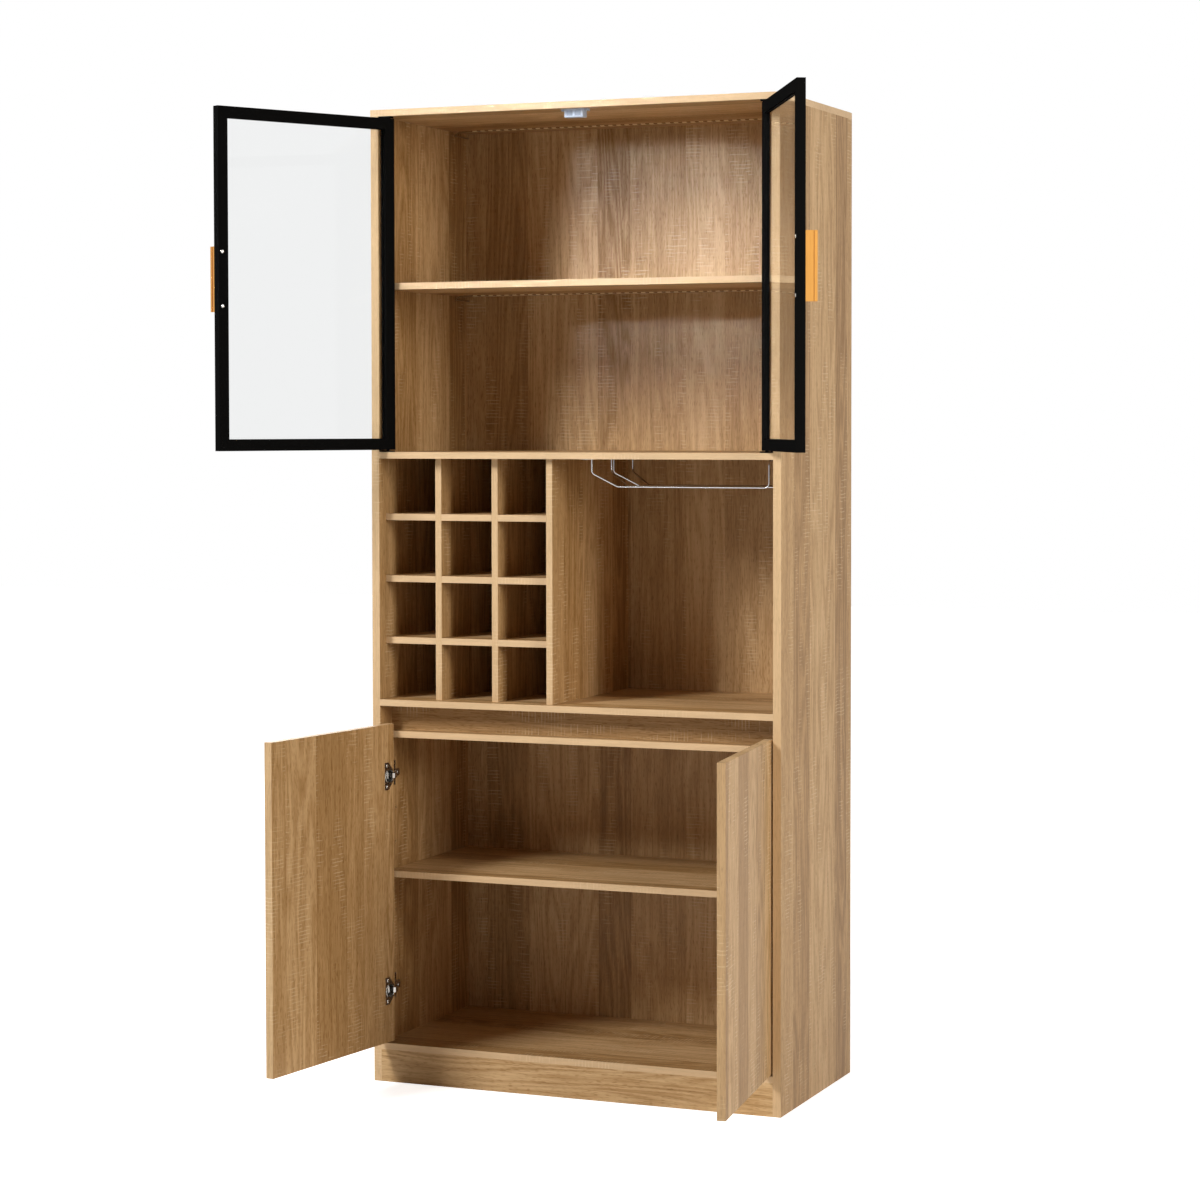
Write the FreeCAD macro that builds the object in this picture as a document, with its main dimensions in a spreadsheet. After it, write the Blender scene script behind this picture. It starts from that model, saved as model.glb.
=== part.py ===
# Display cabinet: glazed top, bottle rack and stemware bay, cupboard below.
# The frame stands on the floor at the middle of the front: X to the right, Y to the back, Z up.
# The four doors rest open, each turned about its own hinge axis by its open angle.
import FreeCAD
import Part
import Sketcher
import math
import os
import re

V = FreeCAD.Vector
doc = FreeCAD.newDocument("display_cabinet")

# Driving dimensions, in millimetres and degrees
SIZES = {
    # carcass
    "cabinet_width": 800,
    "cabinet_depth": 400,
    "cabinet_height": 1800,
    "side_thick": 15,
    "board_thick": 12,
    "back_thick": 5,
    "back_inset": 13,
    "groove_deep": 5,
    "plinth_height": 60,
    "bar_level": 713,
    "middle_level": 1171,
    "upper_shelf_drop": 2.5,
    "shelf_swing_clear": 2.8,
    "finger_high": 48,
    "finger_deep": 48,
    "rail_swing_clear": 1.8,
    "stop_rail_lip": 2,
    # lower shelf and its pins
    "lower_shelf_level": 391,
    "lower_shelf_setback": 24,
    "lower_shelf_back_gap": 12,
    "shelf_end_gap": 2,
    "pin_radius": 2.5,
    "pin_out": 9,
    "pin_in": 10,
    "pin_line_front": 62,
    "pin_line_from_back": 82,
    "pin_step": 64,
    # loose tenons
    "tenon_thick": 5,
    "tenon_wide": 22,
    "tenon_long": 30,
    "tenon_in_side": 11,
    "tenon_in_top": 8,
    "tenon_line_front": 70,
    "tenon_line_from_back": 62,
    # bottle rack
    "rack_cell_wide": 102,
    "rack_setback": 27,
    "partition_setback": 15,
    "lap_clear": 0.2,
    # doors
    "side_gap": 3,
    "meet_gap": 3,
    "door_inset": 1,
    "glass_open_angle": 118,
    "pivot_from_edge": 11.5,
    "pivot_from_face": 7.5,
    "pivot_gap": 4,
    "frame_wide": 20,
    "frame_thick": 15,
    "pane_thick": 4,
    "pane_cover": 5,
    "gasket_wall": 1,
    "pivot_plate_thick": 3,
    "pivot_plate_long": 24,
    "pivot_plate_wide": 14,
    "pivot_plate_gap": 1,
    "pivot_radius": 3,
    "pivot_in_frame": 11,
    "pivot_end_clear": 0.3,
    "running_clear": 0.05,
    # handle on each glass door
    "handle_long": 116,
    "handle_from_edge": 5,
    "handle_foot_wide": 10,
    "handle_foot_thick": 4,
    "handle_web_wide": 6,
    "handle_out": 20.5,
    "handle_lip_thick": 3,
    "handle_groove_wide": 2.5,
    "handle_groove_deep": 1.8,
    "handle_groove_out": 13,
    # lower doors and cup hinges
    "slab_open_angle": 97.5,
    "slab_thick": 15,
    "slab_gap": 3,
    "slab_over_rail": 14,
    "hinge_from_end": 96,
    "pin_from_edge": 8,
    "pin_from_face": 6.7,
    "hinge_pin_radius": 1.5,
    "hinge_pin_long": 13,
    "cup_radius": 13,
    "cup_wall": 1.1,
    "cup_floor": 0.8,
    "cup_deep": 12,
    "cup_from_edge": 3,
    "cup_clear": 0.05,
    "flange_thick": 1.2,
    "flange_high": 51,
    "flange_near": 3,
    "flange_far": 30,
    "flange_taper": 18,
    "flange_nose_high": 20,
    "notch_high": 10.4,
    "notch_deep": 5,
    "notch_near": 4.2,
    "arm_thick": 2,
    "arm_high": 9,
    "arm_eye_radius": 2.5,
    "hook_clear": 0.5,
    "arm_bend": 2,
    "plate_thick": 2,
    "plate_setback": 36,
    "plate_wing_wide": 13,
    "plate_wing_high": 46,
    "plate_front": 17,
    "plate_rear": 20,
    "plate_body_high": 14,
    # magnetic catch
    "catch_wide": 36,
    "catch_deep": 18,
    "catch_high": 15,
    "catch_ear_wide": 52,
    "catch_ear_deep": 13,
    "catch_ear_thick": 3.5,
    "catch_round": 2,
    "catch_door_gap": 0.5,
    "magnet_wide": 12,
    "magnet_high": 10,
    "magnet_deep": 8,
    "magnet_spacing": 16,
    # stemware loops
    "wire_radius": 1.5,
    "wire_bend": 9,
    "loop_left_gap": 59,
    "loop_right_gap": 36,
    "loop_line": 107,
    "loop_pitch": 105,
    "loop_wide": 50,
    "loop_flare": 22,
    "loop_slant": 42,
    "leg_drop": 26,
    "rail_drop": 51,
    "tab_thick": 1.5,
    "tab_wide": 12,
    "tab_long": 24,
    # light strips
    "led_wide": 8,
    "led_thick": 1.4,
    "led_from_back": 64,
    "led_left_gap": 42,
    "led_right_gap": 8,
    "lead_radius": 1,
    "lead_drop": 8,
    "lead_slope": 12,
    "lead_wall_gap": 5,
    "lead_bend": 5,
    "lead_clear": 0.3,
}

# Places and sizes that follow from the driving dimensions
LAYOUT = {
    "inner_half": "cabinet_width / 2 - side_thick",
    "top_under": "cabinet_height - board_thick",
    "back_face": "cabinet_depth - back_inset - back_thick",
    "back_split": "middle_level - board_thick / 2",
    "bottom_level": "plinth_height + board_thick",
    "bar_under": "bar_level - board_thick",
    "mid_under": "middle_level - board_thick",
    "upper_shelf_level": "(middle_level + top_under + board_thick) / 2 - upper_shelf_drop",
    "upper_under": "upper_shelf_level - board_thick",
    "shelf_under": "lower_shelf_level - board_thick",
    "rail_level": "bar_under - finger_high",
    "rail_under": "rail_level - board_thick",
    "pin_line_back": "back_face - pin_line_from_back",
    "tenon_line_back": "back_face - tenon_line_from_back",
    "led_line": "back_face - led_from_back",
    "pin_level": "shelf_under - pin_radius",
    "rack_cell_high": "(mid_under - bar_level - 3 * board_thick) / 4",
    "rack_middle": "(rack_setback + back_face) / 2",
    "partition_left": "3 * rack_cell_wide + 2 * board_thick - inner_half",
    "glass_low": "middle_level + pivot_gap",
    "glass_high": "top_under - pivot_gap",
    "glass_wide": "inner_half - side_gap - meet_gap / 2",
    "glass_far": "glass_wide - pivot_from_edge",
    "glass_inner": "frame_thick - pivot_from_face",
    "glass_axis_x": "inner_half - side_gap - pivot_from_edge",
    "glass_axis_y": "door_inset + pivot_from_face",
    "frame_corner": "sqrt(pivot_from_edge * pivot_from_edge + glass_inner * glass_inner)",
    "upper_shelf_setback": "glass_axis_y + frame_corner + shelf_swing_clear",
    "glazing_middle": "frame_thick / 2 - pivot_from_face",
    "gasket_thick": "pane_thick + 2 * gasket_wall",
    "handle_middle": "(glass_low + glass_high) / 2",
    "handle_face": "glass_far - handle_from_edge",
    "slab_low": "bottom_level + slab_gap",
    "slab_high": "rail_level + slab_over_rail",
    "slab_wide": "inner_half - side_gap - meet_gap / 2",
    "slab_inner": "slab_thick - pin_from_face",
    "slab_axis_x": "inner_half - side_gap - pin_from_edge",
    "slab_axis_y": "door_inset + pin_from_face",
    "slab_corner": "sqrt(pin_from_edge * pin_from_edge + slab_inner * slab_inner)",
    "stop_rail_setback": "slab_axis_y + slab_corner + rail_swing_clear",
    "hook_reach": "slab_corner + hook_clear + arm_thick / 2",
    "hinge_low": "slab_low + hinge_from_end",
    "hinge_high": "slab_high - hinge_from_end",
    "cup_middle": "cup_from_edge + cup_radius - pin_from_edge",
    "cup_base": "slab_inner - cup_deep",
    "cup_hollow": "cup_radius - cup_clear - cup_wall",
    "flange_back": "flange_far - pin_from_edge",
    "flange_front": "flange_near - pin_from_edge",
    "plate_line": "door_inset + slab_thick + plate_setback",
    "plate_face": "plate_thick - side_gap - pin_from_edge",
    "arm_end": "plate_line + plate_rear - slab_axis_y",
    "catch_face": "door_inset + frame_thick + catch_door_gap",
    "led_left": "led_left_gap - inner_half",
    "led_right": "inner_half - led_right_gap",
}


def write_sheet(name, cells):
    """A sheet with one value or formula per row, each with its alias."""
    sheet = doc.addObject("Spreadsheet::Sheet", name)
    for row, (alias, content) in enumerate(cells.items(), 1):
        sheet.set("A%d" % row, alias)
        sheet.set("B%d" % row, content)
        sheet.setAlias("B%d" % row, alias)
    return sheet


def formula(text):
    """The words of a formula become references to the cell that holds each size."""
    def reference(match):
        word = match.group(0)
        if word in SIZES:
            return "sizes." + word
        if word in LAYOUT:
            return "layout." + word
        return word
    return re.sub(r"[a-z][a-z_]*", reference, text)


sizes = write_sheet("sizes", {alias: str(value) for alias, value in SIZES.items()})
doc.recompute()
layout = write_sheet("layout", {})
for line, (alias, text) in enumerate(LAYOUT.items(), 1):
    layout.set("A%d" % line, alias)
    layout.set("B%d" % line, "=" + formula(text).replace("layout.", ""))
    layout.setAlias("B%d" % line, alias)
    doc.recompute()


def size(alias):
    """The number that a cell of either sheet holds."""
    sheet = sizes if alias in SIZES else layout
    return float(sheet.get(alias))


NODES = []
TURNS = {
    "x": FreeCAD.Rotation(V(0, 1, 0), 90),
    "y": FreeCAD.Rotation(V(1, 0, 0), -90),
    "z": FreeCAD.Rotation(),
}


def bind(thing, formulas):
    for prop, text in formulas.items():
        thing.setExpression(prop, formula(text))


def place(thing, x, y, z):
    bind(thing, {"Placement.Base.x": x, "Placement.Base.y": y, "Placement.Base.z": z})


def mirrored(hand, start, length):
    """The low X of a length that starts at start, or of its mirror image for hand -1."""
    return start if hand > 0 else "-(%s) - (%s)" % (start, length)


def block(name, x, y, z, length, width, height, hand=1):
    """A box from its low corner; hand -1 mirrors it to the other side of X = 0."""
    box = doc.addObject("Part::Box", name)
    bind(box, {"Length": length, "Width": width, "Height": height})
    place(box, mirrored(hand, x, length), y, z)
    return box


def rod(name, axis, x, y, z, radius, length):
    """A cylinder that starts at a point and runs along an axis."""
    cylinder = doc.addObject("Part::Cylinder", name)
    bind(cylinder, {"Radius": radius, "Height": length})
    cylinder.Placement = FreeCAD.Placement(V(), TURNS[axis])
    place(cylinder, x, y, z)
    return cylinder


def group(name, things):
    """Separate solids kept together as one node."""
    compound = doc.addObject("Part::Compound", name)
    compound.Links = things
    return compound


def join(name, things):
    fusion = doc.addObject("Part::MultiFuse", name)
    fusion.Shapes = things
    fusion.Refine = True
    return fusion


def cut(name, base, tools):
    difference = doc.addObject("Part::Cut", name)
    difference.Base = base
    difference.Tool = tools[0] if len(tools) == 1 else group(name + "_tools", tools)
    return difference


def outline(name, corners):
    """A closed sketch whose corners are pairs of formulas."""
    sketch = doc.addObject("Sketcher::SketchObject", name)
    count = len(corners)
    start = [V(math.cos(2 * math.pi * i / count), math.sin(2 * math.pi * i / count), 0)
             for i in range(count)]
    for i in range(count):
        sketch.addGeometry(Part.LineSegment(start[i], start[(i + 1) % count]))
    for i in range(count):
        sketch.addConstraint(Sketcher.Constraint("Coincident", i, 2, (i + 1) % count, 1))
    for i, (x, y) in enumerate(corners):
        for kind, text, now in (("DistanceX", x, start[i].x), ("DistanceY", y, start[i].y)):
            index = sketch.addConstraint(Sketcher.Constraint(kind, -1, 1, i, 1, now))
            sketch.setExpression("Constraints[%d]" % index, formula(text))
    return sketch


def extrude(name, sketch, length, turn=None):
    """The outline drawn out along its own Z, then turned."""
    prism = doc.addObject("Part::Extrusion", name)
    prism.Base = sketch
    prism.DirMode = "Normal"
    prism.Solid = True
    bind(prism, {"LengthFwd": length})
    if turn is not None:
        prism.Placement = FreeCAD.Placement(V(), turn)
    return prism


def node(label, thing):
    thing.Label = label
    NODES.append(thing)
    return thing


def swing(label, thing, hand, door):
    """A door's piece, drawn about its hinge axis, is turned open and carried to that axis."""
    moved = group(label + "_open", [thing])
    moved.Placement = FreeCAD.Placement(V(), FreeCAD.Rotation(V(0, 0, -hand), 45))
    bind(moved, {
        "Placement.Base.x": "%d * %s_axis_x" % (-hand, door),
        "Placement.Base.y": "%s_axis_y" % door,
        "Placement.Rotation.Angle": "%s_open_angle" % door,
    })
    return node(label, moved)


HANDS = (("left", 1), ("right", -1))
INNER = "2 * inner_half"
TENON_LINES = ("tenon_line_front", "tenon_line_back")
PIN_LINES = ("pin_line_front", "pin_line_back")
HINGE_LEVELS = ("hinge_low", "hinge_high")


# Loose tenons join each board to the sides, and the sides to the top
tenons = []
side_slots = {1: [], -1: []}
board_slots = {"bottom": [], "bar": [], "mid": [], "upper": []}
top_slots = []
BOARD_MIDDLES = {
    "bottom": "plinth_height + board_thick / 2",
    "bar": "bar_under + board_thick / 2",
    "mid": "mid_under + board_thick / 2",
    "upper": "upper_under + board_thick / 2",
}
for side, hand in HANDS:
    for line in TENON_LINES:
        front = line + " - tenon_wide / 2"
        for board, level in BOARD_MIDDLES.items():
            tenon = block("tenon_%s_%s_%s" % (side, board, line), "-inner_half - tenon_in_side",
                          front, level + " - tenon_thick / 2",
                          "tenon_long", "tenon_wide", "tenon_thick", hand)
            tenons.append(tenon)
            side_slots[hand].append(tenon)
            board_slots[board].append(tenon)
        tenon = block("tenon_%s_top_%s" % (side, line),
                      "-inner_half - side_thick / 2 - tenon_thick / 2", front,
                      "top_under + tenon_in_top - tenon_long",
                      "tenon_thick", "tenon_wide", "tenon_long", hand)
        tenons.append(tenon)
        side_slots[hand].append(tenon)
        top_slots.append(tenon)
node("tenons", group("tenon_set", tenons))

# Side panels: full height under the top, grooved for the back and drilled for shelf pins
for side, hand in HANDS:
    panel = block(side + "_side_board", "-cabinet_width / 2", "0", "0",
                  "side_thick", "cabinet_depth", "top_under", hand)
    holes = list(side_slots[hand])
    holes.append(block(side + "_groove", "-inner_half - groove_deep", "back_face", "plinth_height",
                       "groove_deep", "back_thick", "top_under - plinth_height", hand))
    for line in PIN_LINES:
        for step in range(-2, 3):
            start = mirrored(hand, "-inner_half - pin_in", "pin_in")
            level = "pin_level + %d * pin_step" % step
            name = "%s_pin_hole_%s_%d" % (side, line, step + 2)
            holes.append(rod(name, "x", start, line, level, "pin_radius", "pin_in"))
    node(side + "_side_panel", cut(side + "_side_drilled", panel, holes))

# Boards across the carcass
full_deep = "back_face"
top_board = block("top_board", "-cabinet_width / 2", "0", "top_under",
                  "cabinet_width", "cabinet_depth", "board_thick")
node("top_panel", cut("top_slotted", top_board, top_slots))
for label, board, level in (("middle_panel", "mid", "mid_under"),
                            ("bar_panel", "bar", "bar_under"),
                            ("bottom_panel", "bottom", "plinth_height")):
    plain = block(label + "_board", "-inner_half", "0", level, INNER, full_deep, "board_thick")
    node(label, cut(label + "_slotted", plain, board_slots[board]))
shelf = block("upper_shelf_board", "-inner_half", "upper_shelf_setback", "upper_under",
              INNER, "back_face - upper_shelf_setback", "board_thick")
node("upper_shelf", cut("upper_shelf_slotted", shelf, board_slots["upper"]))

# Plinths, the finger gap's rails
node("front_plinth", block("front_plinth_board", "-inner_half", "0", "0",
                           INNER, "board_thick", "plinth_height"))
node("rear_plinth", block("rear_plinth_board", "-inner_half", "back_face - board_thick", "0",
                          INNER, "board_thick", "plinth_height"))
node("finger_rail", block("finger_rail_board", "-inner_half", "finger_deep", "rail_level",
                          INNER, "board_thick", "bar_under - rail_level"))
node("stop_rail", block("stop_rail_board", "-inner_half", "stop_rail_setback", "rail_under", INNER,
                        "finger_deep + board_thick + stop_rail_lip - stop_rail_setback",
                        "board_thick"))

# Lower shelf on four pins
node("lower_shelf", block("lower_shelf_board", "shelf_end_gap - inner_half", "lower_shelf_setback",
                          "shelf_under", "2 * (inner_half - shelf_end_gap)",
                          "back_face - lower_shelf_back_gap - lower_shelf_setback", "board_thick"))
pins = []
for side, hand in HANDS:
    for line in PIN_LINES:
        name = "pin_%s_%s" % (side, line)
        start = mirrored(hand, "-inner_half - pin_in", "pin_in + pin_out")
        pins.append(rod(name, "x", start, line, "pin_level", "pin_radius", "pin_in + pin_out"))
node("shelf_pins", group("shelf_pin_set", pins))

# Back panels in the side grooves, split behind the middle panel; the upper one passes the leads
back_wide = "2 * (inner_half + groove_deep)"
node("lower_back_panel", block("lower_back_board", "-inner_half - groove_deep", "back_face",
                               "plinth_height", back_wide, "back_thick",
                               "back_split - plinth_height"))
upper_back = block("upper_back_board", "-inner_half - groove_deep", "back_face", "back_split",
                   back_wide, "back_thick", "top_under - back_split")
LIGHTS = (("upper", "top_under"), ("lower", "upper_under"))
lead_ways = [block("lead_way_" + light, "lead_wall_gap - inner_half - lead_radius - lead_clear",
                   "back_face", "%s - lead_drop - lead_radius - lead_clear" % under,
                   "2 * (lead_radius + lead_clear)", "back_thick",
                   "2 * (lead_radius + lead_clear)")
             for light, under in LIGHTS]
node("upper_back_panel", cut("upper_back_slotted", upper_back, lead_ways))

# Bottle rack: shelves slotted from the front, dividers from the back, lapped half way
rack_high = "mid_under - bar_level"
slot_high = "board_thick + 2 * lap_clear"
divider_lefts = ["%d * rack_cell_wide + %d * board_thick - inner_half" % (i + 1, i)
                 for i in range(2)]
shelf_lows = ["bar_level + %d * rack_cell_high + %d * board_thick" % (i + 1, i)
              for i in range(3)]
for number, left in enumerate(divider_lefts, 1):
    name = "rack_divider_%d" % number
    board = block(name + "_board", left, "rack_setback", "bar_level",
                  "board_thick", "back_face - rack_setback", rack_high)
    slots = [block("%s_slot_%d" % (name, i), left, "rack_middle", "%s - lap_clear" % low,
                   "board_thick", "back_face - rack_middle", slot_high)
             for i, low in enumerate(shelf_lows)]
    node(name, cut(name + "_slotted", board, slots))
for number, low in enumerate(shelf_lows, 1):
    name = "rack_shelf_%d" % number
    board = block(name + "_board", "-inner_half", "rack_setback", low,
                  "partition_left + inner_half", "back_face - rack_setback", "board_thick")
    slots = [block("%s_slot_%d" % (name, i), "%s - lap_clear" % left, "rack_setback", low,
                   slot_high, "rack_middle - rack_setback", "board_thick")
             for i, left in enumerate(divider_lefts)]
    node(name, cut(name + "_slotted", board, slots))
node("rack_partition", block("rack_partition_board", "partition_left", "partition_setback",
                             "bar_level", "board_thick", "back_face - partition_setback",
                             rack_high))


def bent_wire(points, radius, bend, flats):
    """A wire drawn with flats along straight runs, with an arc of one radius at every corner."""
    edges = []
    last = points[0]
    for before, corner, after in zip(points, points[1:], points[2:]):
        back = (before - corner).normalize()
        ahead = (after - corner).normalize()
        half = back.getAngle(ahead) / 2
        reach = bend / math.tan(half)
        start = corner + back * reach
        finish = corner + ahead * reach
        middle = (back + ahead).normalize()
        crown = corner + middle * (bend / math.sin(half) - bend)
        edges.append(Part.LineSegment(last, start).toShape())
        edges.append(Part.Arc(start, crown, finish).toShape())
        last = finish
    edges.append(Part.LineSegment(last, points[-1]).toShape())
    path = Part.Wire(edges)
    ahead = (points[1] - points[0]).normalize()
    across = ahead.cross(V(0, 1, 0)).normalize()
    upward = ahead.cross(across)
    step = 2 * math.pi / flats
    corner = radius / math.cos(step / 2)
    rim = [points[0] + across * (corner * math.cos((i + 0.5) * step))
           + upward * (corner * math.sin((i + 0.5) * step)) for i in range(flats)]
    section = Part.Face(Part.makePolygon(rim + rim[:1]))
    wire = path.makePipe(section)
    ratio = wire.Volume / (section.Area * path.Length)
    print("wire of %.0f mm: volume over section times length %.4f" % (path.Length, ratio))
    return wire


def wire_node(label, points, radius, bend, flats):
    feature = doc.addObject("Part::Feature", label + "_wire")
    feature.Shape = bent_wire([V(*point) for point in points], radius, bend, flats)
    return feature


# Stemware loops: flared legs at the open left end, rails, and a closed right end under the panel
leg_x = size("partition_left") + size("board_thick") + size("loop_left_gap")
end_x = size("inner_half") - size("loop_right_gap")
panel_z = size("mid_under")
rail_z = panel_z - size("rail_drop")
bend_z = panel_z - size("leg_drop")
leg_top = panel_z - size("tab_thick")
cross_z = panel_z - size("wire_radius")
tabs = []
for number, label in enumerate(("front", "rear")):
    middle = size("loop_line") + number * size("loop_pitch")
    near = middle - size("loop_wide") / 2
    far = middle + size("loop_wide") / 2
    first_leg = near - size("loop_flare")
    last_leg = far + size("loop_flare")
    rail_x = leg_x + size("loop_slant")
    route = [(leg_x, first_leg, leg_top), (leg_x, first_leg, bend_z), (rail_x, near, rail_z),
             (end_x, near, rail_z), (end_x, near, cross_z), (end_x, far, cross_z),
             (end_x, far, rail_z), (rail_x, far, rail_z), (leg_x, last_leg, bend_z),
             (leg_x, last_leg, leg_top)]
    node("stemware_loop_" + label, wire_node("stemware_loop_" + label, route,
                                             size("wire_radius"), size("wire_bend"),
                                             flats=8))
    leg_place = "partition_left + board_thick + loop_left_gap"
    middle_place = "loop_line + %d * loop_pitch" % number
    reach = "(loop_wide / 2 + loop_flare)"
    for spot, line in (("first", "%s - %s" % (middle_place, reach)),
                       ("last", "%s + %s" % (middle_place, reach))):
        name = "tab_%s_%s" % (label, spot)
        tabs.append(block(name, "%s + tab_wide / 2 - tab_long" % leg_place,
                          "%s - tab_wide / 2" % line, "mid_under - tab_thick",
                          "tab_long", "tab_wide", "tab_thick"))
    tabs.append(block("tab_%s_end" % label, "inner_half - loop_right_gap + wire_radius",
                      "%s - tab_wide / 2" % middle_place, "mid_under - tab_thick",
                      "tab_long", "tab_wide", "tab_thick"))
node("stemware_tabs", group("stemware_tab_set", tabs))

# Light strips under the top and the upper shelf, each with a short lead into the back
leads = []
for light, under in LIGHTS:
    node("led_strip_" + light, block("led_tape_" + light, "led_left", "led_line - led_wide / 2",
                                     "%s - led_thick" % under, "led_right - led_left",
                                     "led_wide", "led_thick"))
    under_z = size(under)
    wall_x = size("lead_wall_gap") - size("inner_half")
    line_y = size("led_line")
    tape_z = under_z - size("led_thick") / 2
    low_z = under_z - size("lead_drop")
    start_z = tape_z - size("lead_radius") / 2
    route = [(size("led_left"), line_y, start_z),
             (wall_x + size("lead_slope"), line_y, start_z),
             (wall_x, line_y, low_z),
             (wall_x, size("back_face") + size("back_thick"), low_z)]
    leads.append(wire_node("led_lead_" + light, route, size("lead_radius"), size("lead_bend"),
                           flats=4))
node("led_leads", group("led_lead_set", leads))

# Double magnetic catch under the top, in the middle
catch_low = "top_under - catch_high"
body_block = block("catch_block", "-catch_wide / 2", "catch_face", catch_low,
                   "catch_wide", "catch_deep", "catch_high")
ear_line = "catch_face + catch_deep / 2"
ears = block("catch_ears", "-catch_ear_wide / 2", "%s - catch_ear_deep / 2" % ear_line,
             "top_under - catch_ear_thick", "catch_ear_wide", "catch_ear_deep", "catch_ear_thick")
catch_raw = join("catch_raw", [body_block, ears])
magnets = []
for sign in (-1, 1):
    magnets.append(block("magnet_%d" % (sign + 1),
                         "%d * magnet_spacing / 2 - magnet_wide / 2" % sign, "catch_face",
                         "%s + (catch_high - magnet_high) / 2" % catch_low,
                         "magnet_wide", "magnet_deep", "magnet_high"))
catch_cut = cut("catch_cut", catch_raw, magnets)
doc.recompute()
catch_soft = doc.addObject("Part::Fillet", "catch_soft")
catch_soft.Base = catch_cut


def upright_ends(shape, low, wide):
    """The upright edges at the outer ends of a shape, above a level."""
    found = []
    for index, edge in enumerate(shape.Edges, 1):
        box = edge.BoundBox
        straight = box.XLength < 1e-6 and box.YLength < 1e-6
        if straight and box.ZMin > low - 1e-6 and abs(abs(box.XMin) - wide) < 1e-6:
            found.append(index)
    return found


ear_low = size("top_under") - size("catch_ear_thick")
ear_edges = upright_ends(catch_cut.Shape, ear_low, size("catch_ear_wide") / 2)
catch_soft.Edges = [(index, size("catch_round"), size("catch_round")) for index in ear_edges]
node("catch_body", catch_soft)
node("catch_magnets", group("catch_magnet_set", magnets))

# Glass doors: frame with a glazing groove, pane, gasket and handle
glass_long = "glass_high - glass_low"
pivot_plates = []
for side, hand in HANDS:
    def door_block(name, x, z, reach, y, thick):
        """A box centred on the door's opening, larger than it by reach on every side."""
        return block(side + name, "%s - (%s)" % (x, reach), y, "%s - (%s)" % (z, reach),
                     "glass_wide - 2 * frame_wide + 2 * (%s)" % reach, thick,
                     "%s - 2 * frame_wide + 2 * (%s)" % (glass_long, reach), hand)

    open_x = "frame_wide - pivot_from_edge"
    open_z = "glass_low + frame_wide"
    groove_y = "glazing_middle - gasket_thick / 2"
    pane_y = "glazing_middle - pane_thick / 2"
    groove_reach = "pane_cover + gasket_wall"
    bar = block(side + "_frame_bar", "-pivot_from_edge", "-pivot_from_face", "glass_low",
                "glass_wide", "frame_thick", glass_long, hand)
    opening = door_block("_frame_opening", open_x, open_z, "0", "-pivot_from_face", "frame_thick")
    groove = door_block("_frame_groove", open_x, open_z, groove_reach, groove_y, "gasket_thick")
    pin_hole_deep = "pivot_in_frame + pivot_end_clear"
    frame_holes = [
        rod(side + "_low_pivot_hole", "z", "0", "0", "glass_low",
            "pivot_radius + running_clear", pin_hole_deep),
        rod(side + "_high_pivot_hole", "z", "0", "0", "glass_high - (%s)" % pin_hole_deep,
            "pivot_radius + running_clear", pin_hole_deep),
    ]
    frame = cut(side + "_frame_cut", bar, [opening, groove] + frame_holes)
    swing(side + "_glass_frame", frame, hand, "glass")

    pane = door_block("_pane_sheet", open_x, open_z, "pane_cover", pane_y, "pane_thick")
    swing(side + "_glass_pane", pane, hand, "glass")

    rubber = door_block("_gasket_ring", open_x, open_z, groove_reach, groove_y, "gasket_thick")
    window = door_block("_gasket_window", open_x, open_z, "-gasket_wall", groove_y, "gasket_thick")
    swing(side + "_glass_gasket", cut(side + "_gasket_cut", rubber, [window, pane]), hand, "glass")

    def grip(inward, out):
        """A corner of the handle's outline, inward from its face and out from the door."""
        return ("%d * (handle_face - (%s))" % (hand, inward), "-pivot_from_face - (%s)" % out)

    lip_in = "handle_out - handle_lip_thick"
    groove_end = "handle_groove_out + handle_groove_wide"
    profile = outline(side + "_handle_outline", [
        grip("handle_foot_wide", "0"), grip("0", "0"),
        grip("0", "handle_groove_out"), grip("handle_groove_deep", "handle_groove_out"),
        grip("handle_groove_deep", groove_end), grip("0", groove_end),
        grip("0", "handle_out"), grip("handle_foot_wide", "handle_out"),
        grip("handle_foot_wide", lip_in), grip("handle_web_wide", lip_in),
        grip("handle_web_wide", "handle_foot_thick"),
        grip("handle_foot_wide", "handle_foot_thick"),
    ])
    pull = extrude(side + "_handle_bar", profile, "handle_long")
    place(pull, "0", "0", "handle_middle - handle_long / 2")
    swing(side + "_handle", pull, hand, "glass")

    # Pivot plates on the middle panel and under the top, each with its pin
    axis_x = "%d * glass_axis_x" % -hand
    pin_long = "pivot_gap - pivot_plate_thick + pivot_in_frame"
    for end in ("low", "high"):
        name = "%s_%s_pivot" % (side, end)
        if end == "low":
            plate_z = "middle_level"
            pin_z = "middle_level + pivot_plate_thick"
        else:
            plate_z = "top_under - pivot_plate_thick"
            pin_z = "%s - (%s)" % (plate_z, pin_long)
        plate = block(name + "_plate", "pivot_plate_gap - inner_half",
                      "glass_axis_y - pivot_plate_wide / 2", plate_z,
                      "pivot_plate_long", "pivot_plate_wide", "pivot_plate_thick", hand)
        pin = rod(name + "_pin", "z", axis_x, "glass_axis_y", pin_z, "pivot_radius", pin_long)
        pivot_plates.append(join(name, [plate, pin]))
node("pivot_plates", group("pivot_plate_set", pivot_plates))

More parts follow.
